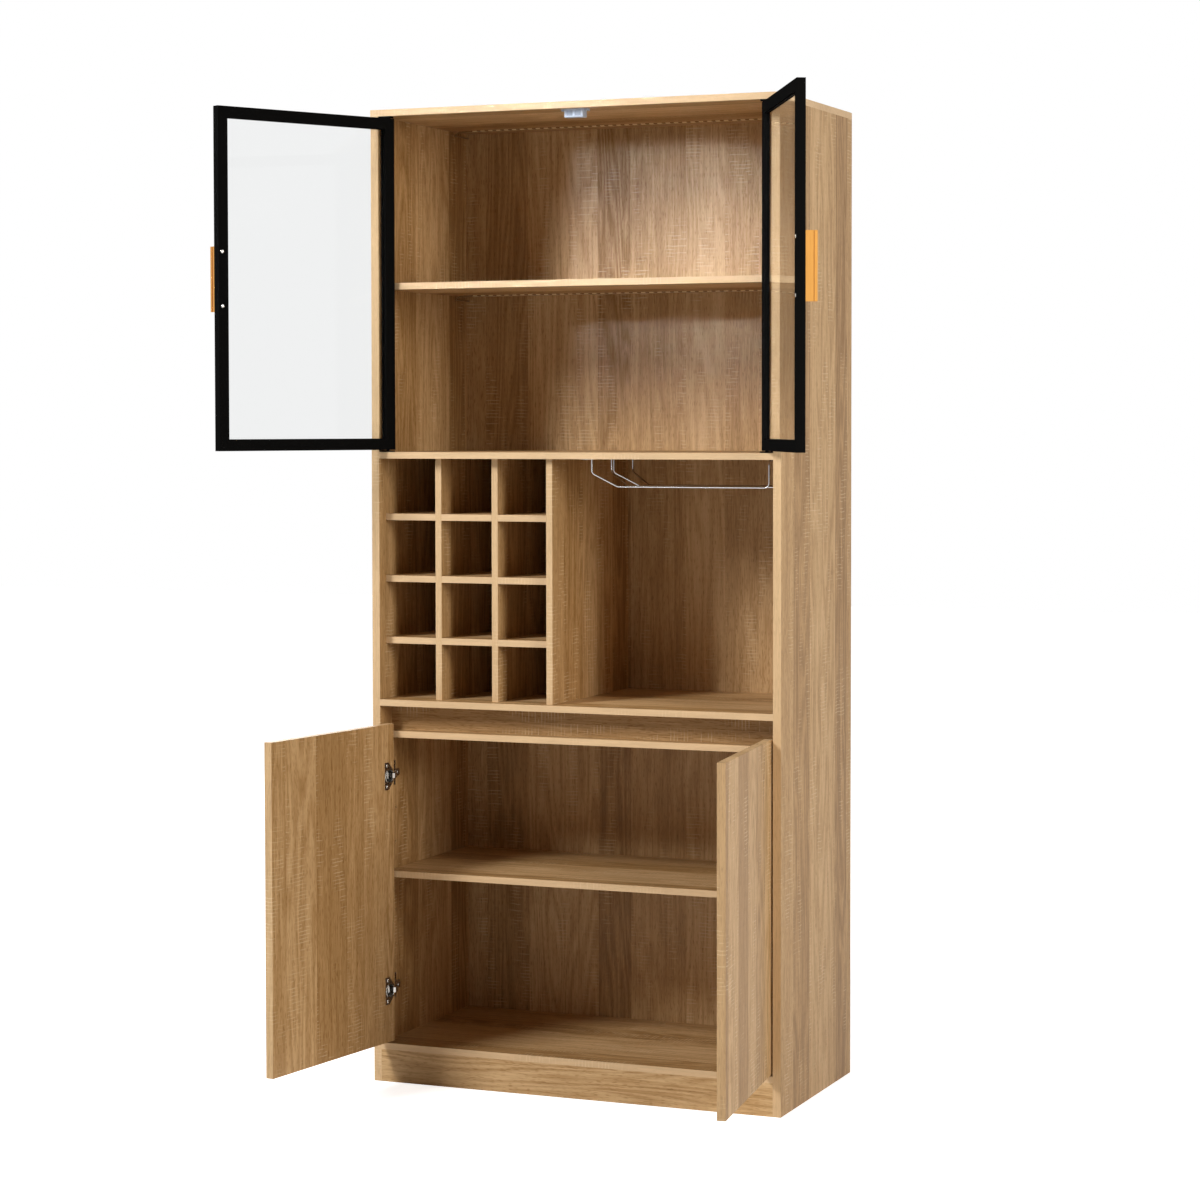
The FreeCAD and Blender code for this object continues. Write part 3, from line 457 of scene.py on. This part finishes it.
def new_tree(name, inputs):
    """A node tree with a geometry socket at each end and named inputs for its sizes."""
    tree = bpy.data.node_groups.new(name, "GeometryNodeTree")
    tree.interface.new_socket("Geometry", in_out="INPUT", socket_type="NodeSocketGeometry")
    for label, kind in inputs:
        tree.interface.new_socket(label, in_out="INPUT", socket_type=kind)
    tree.interface.new_socket("Geometry", in_out="OUTPUT", socket_type="NodeSocketGeometry")
    return tree, tree.nodes.new("NodeGroupInput"), tree.nodes.new("NodeGroupOutput")


def grow(name, mesh, tree, values):
    """A new piece whose mesh the tree makes, with the tree's inputs set by identifier."""
    piece = bpy.data.objects.new(name, mesh)
    bpy.context.scene.collection.objects.link(piece)
    modifier = piece.modifiers.new("nodes", "NODES")
    modifier.node_group = tree
    for item in tree.interface.items_tree:
        if item.in_out == "INPUT" and item.name in values:
            modifier[item.identifier] = values[item.name]
    return freeze(piece)


BEND_STEPS, WIRE_SIDES = 9, 20
wire_tree, wire_in, wire_out = new_tree("bent_wire", [
    ("Wire Radius", "NodeSocketFloat"), ("Bend Radius", "NodeSocketFloat"),
    ("Finish", "NodeSocketMaterial")])
corners = add_node(wire_tree, "GeometryNodeMeshToCurve", inputs={0: wire_in.outputs["Geometry"]})
rounded = add_node(wire_tree, "GeometryNodeFilletCurve", {"mode": "POLY"}, {
    "Curve": corners.outputs[0], "Count": BEND_STEPS,
    "Radius": wire_in.outputs["Bend Radius"], "Limit Radius": True})
section = add_node(wire_tree, "GeometryNodeCurvePrimitiveCircle",
                   inputs={"Resolution": WIRE_SIDES, "Radius": wire_in.outputs["Wire Radius"]})
swept = add_node(wire_tree, "GeometryNodeCurveToMesh", inputs={
    "Curve": rounded.outputs[0], "Profile Curve": section.outputs[0], "Fill Caps": True})
smooth = add_node(wire_tree, "GeometryNodeSetShadeSmooth", inputs={0: swept.outputs[0]})
whole = add_node(wire_tree, "GeometryNodeRealizeInstances", inputs={0: smooth.outputs[0]})
finished = add_node(wire_tree, "GeometryNodeSetMaterial", inputs={
    0: whole.outputs[0], "Material": wire_in.outputs["Finish"]})
wire_tree.links.new(finished.outputs[0], wire_out.inputs[0])
print("wire tree nodes:", len(wire_tree.nodes))

# %% Stemware loops
MM = 0.001
WIRE_RADIUS, WIRE_BEND = 1.5, 9
LOOP_MIDDLE = {"front": 107.0, "rear": 212.0}
LOOP_WIDE, LOOP_NARROW = 47, 25
LOOP_LEFT, LOOP_SLANT, LOOP_END = 16.0, 58.0, 349.0
LOOP_TOP, LOOP_BEND, LOOP_RAIL = 1157.5, 1133.0, 1108.0
for label, middle in LOOP_MIDDLE.items():
    half = [(LOOP_LEFT, -LOOP_WIDE, LOOP_TOP), (LOOP_LEFT, -LOOP_WIDE, LOOP_BEND),
            (LOOP_SLANT, -LOOP_NARROW, LOOP_RAIL), (LOOP_END, -LOOP_NARROW, LOOP_RAIL),
            (LOOP_END, -LOOP_NARROW, LOOP_TOP)]
    route = half + [(x, -y, z) for x, y, z in reversed(half)]
    line = bpy.data.meshes.new("loop_route")
    line.from_pydata([Vector((x, middle + y, z)) * MM for x, y, z in route],
                     [(i, i + 1) for i in range(len(route) - 1)], [])
    loop = grow("stemware_wire_" + label, line, wire_tree,
                {"Wire Radius": WIRE_RADIUS * MM, "Bend Radius": WIRE_BEND * MM, "Finish": CHROME})
    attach(loop, "carcass")
    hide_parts("stemware_loop_" + label)
    print(loop.name, len(loop.data.polygons), "faces")

# %% [markdown]
# Light strips are tapes with a chip every sixteen millimetres or so. From the front the tape is edge
# on and nearly lost against the wood, and the chips show as a row of pale dashes. One chip is a low
# block with eased edges, and a node tree repeats it along the tape.

# %% One light chip
CHIP_PITCH = 1000.0 / 60
CHIP_SIZE = (9.0, 8.6, 1.5)
CHIP_BEVEL, CHIP_DROP = 0.3, 0.9
chip_mesh = bpy.data.meshes.new("chip")
chip_form = bmesh.new()
bmesh.ops.create_cube(chip_form, size=1.0)
for corner in chip_form.verts:
    corner.co = Vector([c * size for c, size in zip(corner.co, CHIP_SIZE)]) * MM
bmesh.ops.bevel(chip_form, geom=chip_form.edges[:], offset=CHIP_BEVEL * MM, segments=1, affect="EDGES")
chip_form.to_mesh(chip_mesh)
chip_form.free()
chip_one = bpy.data.objects.new("chip_one", chip_mesh)
print("chip", len(chip_mesh.polygons), "faces")

# %% A node tree that sets pieces in a row
row_tree, row_in, row_out = new_tree("row_of_pieces", [
    ("Piece", "NodeSocketObject"), ("Count", "NodeSocketInt"), ("Step", "NodeSocketVector"),
    ("Start", "NodeSocketVector"), ("Finish", "NodeSocketMaterial")])
row_line = add_node(row_tree, "GeometryNodeMeshLine", {"mode": "OFFSET"}, {
    "Count": row_in.outputs["Count"], "Start Location": row_in.outputs["Start"],
    "Offset": row_in.outputs["Step"]})
row_piece = add_node(row_tree, "GeometryNodeObjectInfo", inputs={0: row_in.outputs["Piece"]})
row_set = add_node(row_tree, "GeometryNodeInstanceOnPoints", inputs={
    "Points": row_line.outputs[0], "Instance": row_piece.outputs["Geometry"]})
row_whole = add_node(row_tree, "GeometryNodeRealizeInstances", inputs={0: row_set.outputs[0]})
row_done = add_node(row_tree, "GeometryNodeSetMaterial", inputs={
    0: row_whole.outputs[0], "Material": row_in.outputs["Finish"]})
row_tree.links.new(row_done.outputs[0], row_out.inputs[0])
print("row tree nodes:", len(row_tree.nodes))

# %% Light chips under both strips
for label in ("upper", "lower"):
    low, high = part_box("led_strip_" + label)
    count = int((high.x - low.x) / (CHIP_PITCH * MM))
    start = Vector((low.x + 0.5 * CHIP_PITCH * MM, (low.y + high.y) / 2, high.z - CHIP_DROP * MM))
    chips = grow("light_chips_" + label, bpy.data.meshes.new("chips"), row_tree,
                 {"Piece": chip_one, "Count": count, "Step": (CHIP_PITCH * MM, 0, 0),
                  "Start": start, "Finish": CHIP})
    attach(chips, "carcass")
    print(chips.name, count, "chips")
bpy.data.objects.remove(chip_one)

# %% [markdown]
# Screws hold the handles, the hinge cups, their plates, the catch and the wire tabs. A pan head is a
# low dome with a crossed recess, turned on a small profile. It is made once, and a node tree sets a
# copy on every point and turns it to face the way that the point says. Heads on a door are a piece of
# their own, because they move with it.

# %% One pan head with a crossed recess
HEAD_SIDES = 24
HEAD_PROFILE = [(0.30, 0.97), (0.60, 0.90), (0.86, 0.62), (1.0, 0.28), (1.0, 0.0)]
RECESS_ARMS, RECESS_FLOOR, RECESS_DEPTHS = 4, 0.35, (0.55, 0.35)


def pan_head():
    """A unit screw head, of radius 1 and nearly as high, standing on the plane z = 0."""
    form = bmesh.new()
    turns = [2 * math.pi * i / HEAD_SIDES for i in range(HEAD_SIDES)]
    rings = [[form.verts.new((radius * math.cos(turn), radius * math.sin(turn), height))
              for turn in turns] for radius, height in HEAD_PROFILE]
    centre = form.verts.new((0, 0, RECESS_FLOOR))
    for inner, outer in zip(rings, rings[1:]):
        for i in range(HEAD_SIDES):
            form.faces.new((inner[i - 1], outer[i - 1], outer[i], inner[i]))
    for i in range(HEAD_SIDES):
        form.faces.new((centre, rings[0][i - 1], rings[0][i]))
    form.faces.new(rings[-1])
    # the recess: the arms of the cross sink into the dome
    for ring, depth in zip(rings, RECESS_DEPTHS):
        for point in ring[::HEAD_SIDES // RECESS_ARMS]:
            point.co.z -= depth
    bmesh.ops.recalc_face_normals(form, faces=form.faces[:])
    mesh = bpy.data.meshes.new("pan_head")
    form.to_mesh(mesh)
    form.free()
    return bpy.data.objects.new("pan_head", mesh)


head_one = pan_head()
print("pan head", len(head_one.data.polygons), "faces")

# %% A node tree that drives screws
SPIN_MOST, SPIN_SEED = 1.5, 7
screw_tree, screw_in, screw_out = new_tree("screws_on_points", [
    ("Head", "NodeSocketObject"), ("Finish", "NodeSocketMaterial")])
facing_at = add_node(screw_tree, "GeometryNodeInputNamedAttribute", {"data_type": "FLOAT_VECTOR"},
                     {"Name": "facing"})
size_at = add_node(screw_tree, "GeometryNodeInputNamedAttribute", {"data_type": "FLOAT_VECTOR"},
                   {"Name": "head_size"})
stand = add_node(screw_tree, "FunctionNodeAlignRotationToVector", {"axis": "Z"},
                 {"Vector": facing_at.outputs[0]})
spin = add_node(screw_tree, "FunctionNodeRandomValue", {"data_type": "FLOAT"},
                {2: 0.0, 3: SPIN_MOST, "Seed": SPIN_SEED})
about = add_node(screw_tree, "FunctionNodeAxisAngleToRotation",
                 inputs={"Axis": UP, "Angle": spin.outputs[1]})
turned = add_node(screw_tree, "FunctionNodeRotateRotation", {"rotation_space": "LOCAL"},
                  {0: stand.outputs[0], 1: about.outputs[0]})
head_piece = add_node(screw_tree, "GeometryNodeObjectInfo", inputs={0: screw_in.outputs["Head"]})
driven = add_node(screw_tree, "GeometryNodeInstanceOnPoints", inputs={
    "Points": screw_in.outputs["Geometry"], "Instance": head_piece.outputs["Geometry"],
    "Rotation": turned.outputs[0], "Scale": size_at.outputs[0]})
driven_whole = add_node(screw_tree, "GeometryNodeRealizeInstances", inputs={0: driven.outputs[0]})
driven_soft = add_node(screw_tree, "GeometryNodeSetShadeSmooth", inputs={0: driven_whole.outputs[0]})
driven_done = add_node(screw_tree, "GeometryNodeSetMaterial", inputs={
    0: driven_soft.outputs[0], "Material": screw_in.outputs["Finish"]})
screw_tree.links.new(driven_done.outputs[0], screw_out.inputs[0])


def drive_screws(name, body, spots):
    """One piece of screw heads for a body. A spot is a place, a facing, a radius and a height, in mm."""
    places, facings, radii, heights = zip(*spots)
    points = bpy.data.meshes.new(name)
    points.from_pydata([Vector(place) * MM for place in places], [], [])
    sizes = [(radius * MM, radius * MM, height * MM) for radius, height in zip(radii, heights)]
    for label, values in (("facing", facings), ("head_size", sizes)):
        store = points.attributes.new(label, "FLOAT_VECTOR", "POINT")
        store.data.foreach_set("vector", [c for value in values for c in value])
    heads = grow(name, points, screw_tree, {"Head": head_one, "Finish": NICKEL})
    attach(heads, body)
    print(name, len(spots), "heads on", body)


print("screw tree nodes:", len(screw_tree.nodes))

# %% [markdown]
# Places on a door are measured on the door itself: along it from the hinge line, and outwards from
# that line towards the inside of the cabinet. A small function turns such a place into the frame, at
# the angle at which the door stands open.

# %% Screws on the four doors
def on_door(hand, line, angle, along, inward, level=None):
    """A point on an open door in mm, or a direction where no level is given. hand is 1 for left."""
    x = along * math.cos(angle) + inward * math.sin(angle)
    y = -along * math.sin(angle) + inward * math.cos(angle)
    if level is None:
        return (hand * x, y, 0.0)
    return (hand * (x - line[0]), line[1] + y, level)


GLASS_OPEN = math.radians(118)
GLASS_LINE, SLAB_LINE = (370.5, 8.5), (374.0, 7.7)
HINGE_LEVELS = (171.0, 571.0)
HANDLE_ALONG, HANDLE_INWARD, HANDLE_LEVELS = 361.0, 7.5, (1431.5, 1527.5)
FLANGE_ALONG, FLANGE_INWARD, FLANGE_RISE = 14.5, 9.5, 19.5
HANDLE_HEAD, FLANGE_HEAD = (3.4, 1.6), (3.6, 1.5)
for side, hand in HANDS.items():
    inside = on_door(hand, None, GLASS_OPEN, 0, 1)
    spots = [(on_door(hand, GLASS_LINE, GLASS_OPEN, HANDLE_ALONG, HANDLE_INWARD, level), inside,
              *HANDLE_HEAD) for level in HANDLE_LEVELS]
    drive_screws(side + "_handle_screws", side + "_glass_door", spots)
    inside = on_door(hand, None, SLAB_OPEN, 0, 1)
    spots = [(on_door(hand, SLAB_LINE, SLAB_OPEN, FLANGE_ALONG, FLANGE_INWARD, level + rise), inside,
              *FLANGE_HEAD) for level in HINGE_LEVELS for rise in (-FLANGE_RISE, FLANGE_RISE)]
    drive_screws(side + "_cup_screws", side + "_lower_door", spots)

# %% [markdown]
# Each hinge cup has a rolled rim, which catches the light as a bright ring. It is open towards the
# door's edge, where the arm swings through. The tree that bends wire serves again: it sweeps a small
# circle round the rim. Behind the doors, a pressed channel with two ribs covers the end of each arm.
# Its outline is drawn once, and carried along in four steps, so that its ends are chamfered.

# %% Rims on the hinge cups
CUP_ALONG, CUP_FACE = 8.0, 9.6
RIM_RADIUS, RIM_WIRE, RIM_REACH, RIM_STEP = 12.6, 0.7, 150, 20
RIM_TURNS = [math.radians(turn) for turn in range(-RIM_REACH, RIM_REACH + 1, RIM_STEP)]
for side, hand in HANDS.items():
    rim_points, rim_edges = [], []
    for level in HINGE_LEVELS:
        first = len(rim_points)
        for turn in RIM_TURNS:
            along = CUP_ALONG + RIM_RADIUS * math.cos(turn)
            height = level + RIM_RADIUS * math.sin(turn)
            rim_points.append(Vector(on_door(hand, SLAB_LINE, SLAB_OPEN, along, CUP_FACE, height)) * MM)
        rim_edges += [(i, i + 1) for i in range(first, len(rim_points) - 1)]
    rim_line = bpy.data.meshes.new("rim_line")
    rim_line.from_pydata(rim_points, rim_edges, [])
    rims = grow(side + "_cup_rims", rim_line, wire_tree,
                {"Wire Radius": RIM_WIRE * MM, "Bend Radius": WIRE_BEND * MM, "Finish": NICKEL})
    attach(rims, side + "_lower_door")
    print(rims.name, len(rims.data.polygons), "faces")

# %% Pressed covers on the hinge arms
# half of the outline: up from the middle of the arm, and off the plate; then the depth of each step
# and the share of the outline's rise that it has
COVER_HALF = [(6.9, 0.0), (6.9, 2.2), (6.1, 3.2), (5.3, 3.8), (4.5, 3.8), (3.8, 3.2)]
COVER_STEPS = [(37.0, 0.55), (38.6, 1.0), (68.4, 1.0), (70.0, 0.55)]
PLATE_FACE = 383.0
cover_outline = COVER_HALF + [(-z, rise) for z, rise in reversed(COVER_HALF)]
cover_form = bmesh.new()
for hand in HANDS.values():
    for level in HINGE_LEVELS:
        loops = [[cover_form.verts.new(Vector((-hand * (PLATE_FACE - rise * part), y, level + z)) * MM)
                  for z, rise in cover_outline] for y, part in COVER_STEPS]
        for near, far in zip(loops, loops[1:]):
            for i in range(len(near)):
                cover_form.faces.new((near[i - 1], near[i], far[i], far[i - 1]))
        cover_form.faces.new(loops[0])
        cover_form.faces.new(loops[-1])
bmesh.ops.recalc_face_normals(cover_form, faces=cover_form.faces[:])
cover_mesh = bpy.data.meshes.new("hinge_arm_covers")
cover_form.to_mesh(cover_mesh)
cover_form.free()
cover_mesh.materials.append(NICKEL)
covers = bpy.data.objects.new("hinge_arm_covers", cover_mesh)
bpy.context.scene.collection.objects.link(covers)
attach(covers, "carcass")
print(covers.name, len(cover_mesh.polygons), "faces")

# %% Screws on the carcass
PLATE_SCREW_DEPTH, PLATE_SCREW_RISE, PLATE_HEAD = 52.0, 16, (3.6, 1.5)
ARM_SCREW_DEPTHS, ARM_SCREW_LIFT, ARM_HEAD = (44.0, 62.0), 3.2, (3.0, 1.1)
CATCH_REACH, CATCH_DEPTH, CATCH_LEVEL, CATCH_HEAD = 22.0, 25.5, 1784.5, (2.6, 1.2)
TAB_LEFT, TAB_RIGHT, TAB_HEAD = 4.0, 366.0, (3.2, 1.4)
DOWN = (0, 0, -1)
fixed = []
for hand in HANDS.values():
    inside = (hand, 0, 0)
    for level in HINGE_LEVELS:
        for rise in (-PLATE_SCREW_RISE, PLATE_SCREW_RISE):
            place = (-hand * PLATE_FACE, PLATE_SCREW_DEPTH, level + rise)
            fixed.append((place, inside, *PLATE_HEAD))
        for depth in ARM_SCREW_DEPTHS:
            place = (-hand * (PLATE_FACE - ARM_SCREW_LIFT), depth, level)
            fixed.append((place, inside, *ARM_HEAD))
for x in (-CATCH_REACH, CATCH_REACH):
    fixed.append(((x, CATCH_DEPTH, CATCH_LEVEL), DOWN, *CATCH_HEAD))
for middle in LOOP_MIDDLE.values():
    for y in (middle - LOOP_WIDE, middle + LOOP_WIDE):
        fixed.append(((TAB_LEFT, y, LOOP_TOP), DOWN, *TAB_HEAD))
    fixed.append(((TAB_RIGHT, middle, LOOP_TOP), DOWN, *TAB_HEAD))
drive_screws("carcass_screws", "carcass", fixed)
bpy.data.objects.remove(head_one)

# %% [markdown]
# The stage is a pale floor that keeps the cabinet's shadow and meets a white surround. Light on the
# cabinet stays at a plain level. The white of the picture comes from the floor and the world for rays
# that the camera, metal and glass send out, and not from more light.

# %% Floor
FLOOR_HALF, FLOOR_DROP = 14, 0.0005
FLOOR_WHITE, FLOOR_ROUGH, FLOOR_SHEEN = "#EDEDED", 0.9, 0.1
# the floor's glow by the distance from the middle of the cabinet, in metres
NEAR, FAR, NEAR_GLOW, FAR_GLOW = 0.9, 3.4, 0.78, 0.985
WHITE = (1, 1, 1, 1)


def seen_rays(tree):
    """1 for rays that the camera, metal and glass send out, and 0 for those that carry light."""
    ray = add_node(tree, "ShaderNodeLightPath")
    seen = ray.outputs["Is Camera Ray"]
    for kind in ("Is Glossy Ray", "Is Transmission Ray"):
        seen = add_node(tree, "ShaderNodeMath", {"operation": "ADD", "use_clamp": True},
                        {0: seen, 1: ray.outputs[kind]}).outputs[0]
    return seen


floor_mesh = bpy.data.meshes.new("floor")
floor_corners = [(x * FLOOR_HALF, y * FLOOR_HALF, 0) for x, y in ((-1, -1), (1, -1), (1, 1), (-1, 1))]
floor_mesh.from_pydata(floor_corners, [], [(0, 1, 2, 3)])
floor = bpy.data.objects.new("floor", floor_mesh)
floor.location.z = -FLOOR_DROP
bpy.context.scene.collection.objects.link(floor)
FLOOR, floor_tree, floor_shader = new_material("white_studio_floor")
# the floor glows a little more away from the cabinet, where the lamps no longer reach
floor_place = add_node(floor_tree, "ShaderNodeTexCoord")
away = add_node(floor_tree, "ShaderNodeVectorMath", {"operation": "LENGTH"},
                {0: floor_place.outputs["Object"]})
fade = add_node(floor_tree, "ShaderNodeMapRange", {"interpolation_type": "SMOOTHSTEP"},
                {0: away.outputs["Value"], 1: NEAR, 2: FAR, 3: NEAR_GLOW, 4: FAR_GLOW})
lift = add_node(floor_tree, "ShaderNodeMath", {"operation": "MULTIPLY"},
                {0: seen_rays(floor_tree), 1: fade.outputs[0]})
for socket, value in (("Base Color", linear(FLOOR_WHITE)), ("Roughness", FLOOR_ROUGH),
                      ("Specular IOR Level", FLOOR_SHEEN), ("Emission Color", WHITE)):
    floor_shader.inputs[socket].default_value = value
floor_tree.links.new(lift.outputs[0], floor_shader.inputs["Emission Strength"])
floor.data.materials.append(FLOOR)
print("floor", 2 * FLOOR_HALF, "m wide")

# %% Surround
AMBIENT, AMBIENT_TINT = 0.04, "#FFDBAA"
world = bpy.data.worlds.new("surround")
bpy.context.scene.world = world
world.use_nodes = True
sky = world.node_tree
glow = sky.nodes["Background"]
sky_seen = seen_rays(sky)
sky_level = add_node(sky, "ShaderNodeMapRange", inputs={0: sky_seen, 3: AMBIENT, 4: 1.0})
sky_tint = add_node(sky, "ShaderNodeMix", {"data_type": "RGBA"},
                    {0: sky_seen, 6: linear(AMBIENT_TINT), 7: WHITE})
sky.links.new(sky_tint.outputs[2], glow.inputs["Color"])
sky.links.new(sky_level.outputs[0], glow.inputs["Strength"])
print("ambient light", AMBIENT)

# %% [markdown]
# Four soft boxes light the cabinet. The key stands high in front on the left, so each compartment
# falls off into shade under its own top. A narrow beam at shelf height brings out the right half of
# the display space, a fill on the right lights the outer side and the inner faces that look right, and
# a weaker box behind keeps the back readable from other sides.

# %% Soft boxes
def soft_box(name, place, aim, wide, high, watts, spread, hex_colour):
    """A rectangular area light that looks at a point, with its beam narrowed to a spread."""
    light = bpy.data.lights.new(name, "AREA")
    light.shape = "RECTANGLE"
    light.size, light.size_y = wide, high
    light.energy = watts
    light.spread = math.radians(spread)
    light.color = linear(hex_colour)[:3]
    lamp = bpy.data.objects.new(name, light)
    away = Vector(place) - Vector(aim)
    lamp.matrix_world = Matrix.Translation(place) @ away.to_track_quat("Z", "Y").to_matrix().to_4x4()
    lamp.visible_camera = lamp.visible_transmission = False
    bpy.context.scene.collection.objects.link(lamp)


soft_box("key", place=(-2.1, -3.45, 3.5), aim=(0.1, 0.2, 1.35), wide=0.9, high=1.5, watts=195,
         spread=180, hex_colour="#FFFFFF")
soft_box("beam", place=(-2.2, -3.6, 2.1), aim=(0.2, 0.38, 1.58), wide=0.35, high=0.35, watts=0.55,
         spread=10, hex_colour="#E4F2FF")
soft_box("fill", place=(3.75, -1.53, 2.3), aim=(0.0, 0.1, 1.0), wide=1.0, high=2.2, watts=108,
         spread=180, hex_colour="#FFF9F0")
soft_box("rear", place=(-3.0, 3.6, 2.6), aim=(0.0, 0.2, 0.9), wide=1.6, high=1.6, watts=80,
         spread=180, hex_colour="#FFFFFF")
bpy.context.scene.view_settings.view_transform = "Standard"
